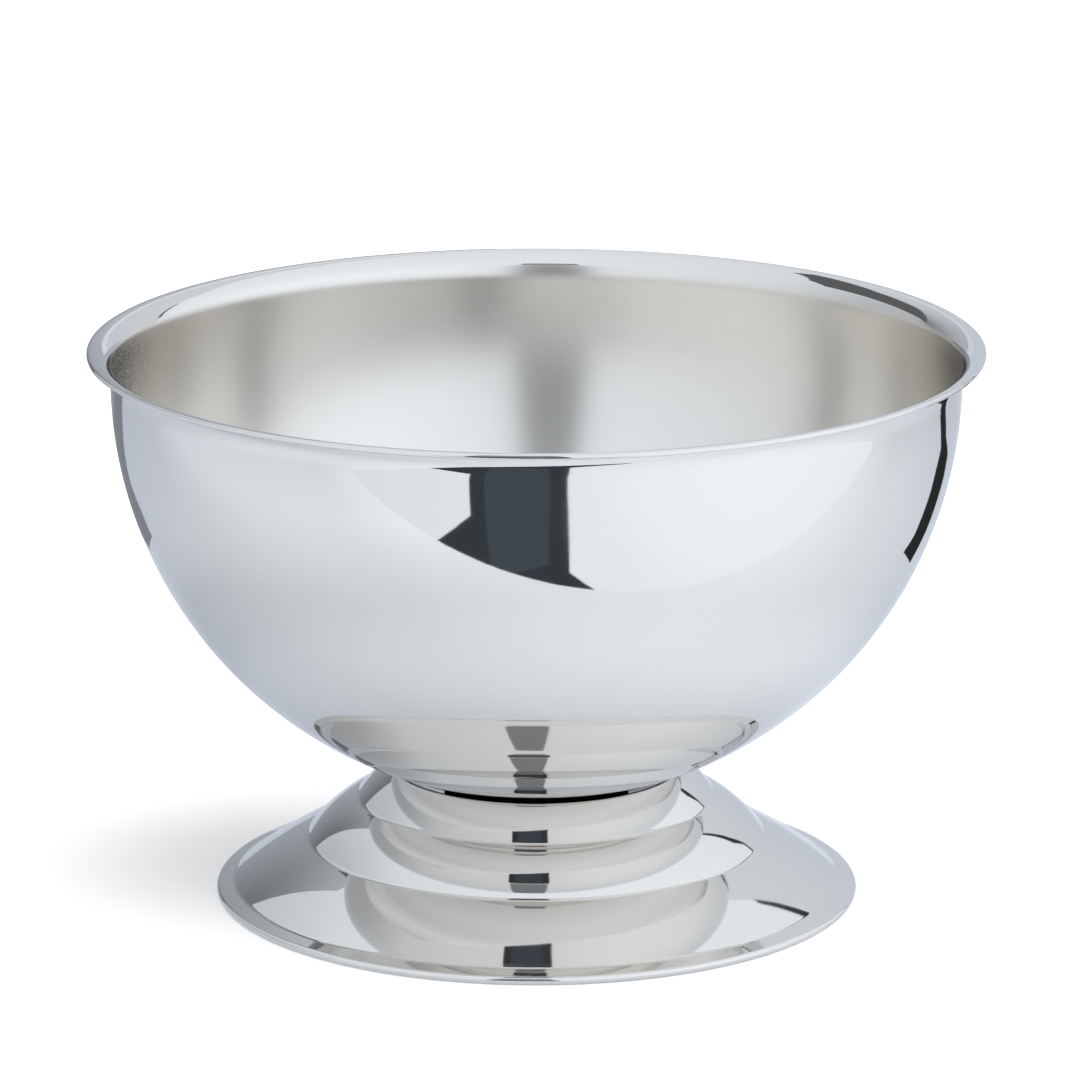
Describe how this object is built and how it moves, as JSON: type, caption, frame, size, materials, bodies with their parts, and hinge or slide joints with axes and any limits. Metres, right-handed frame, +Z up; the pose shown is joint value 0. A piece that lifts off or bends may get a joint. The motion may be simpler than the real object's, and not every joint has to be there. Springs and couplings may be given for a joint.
{
  "type": "punch bowl",
  "caption": "Footed punch bowl: round polished sheet bowl with a flared, rolled lip and satin inside, on a wide stepped hollow pedestal foot.",
  "frame": {"origin": "on the bowl's axis, in the plane of the table that the foot stands on", "axes": "+Z up along the bowl's axis; the bowl and foot are round, so +X and +Y are free, and +X runs through the split of the spring washer"},
  "size_m": [0.38, 0.38, 0.2395],
  "materials": {
    "bowl_steel": "mirror-polished stainless steel outside and on the lip, satin inside",
    "foot_steel": "mirror-polished stainless steel, mill finish underneath",
    "hardware": "bright zinc-plated steel",
    "gasket": "matt black food-grade rubber"
  },
  "bodies": {
    "root": {"bowl_shell": "bowl_steel", "stud_plate": "hardware", "clamp_stud": "hardware", "seat_gasket": "gasket", "pedestal_foot": "foot_steel", "backing_washer": "hardware", "spring_washer": "hardware", "hex_nut": "hardware"}
  },
  "joints": []
}
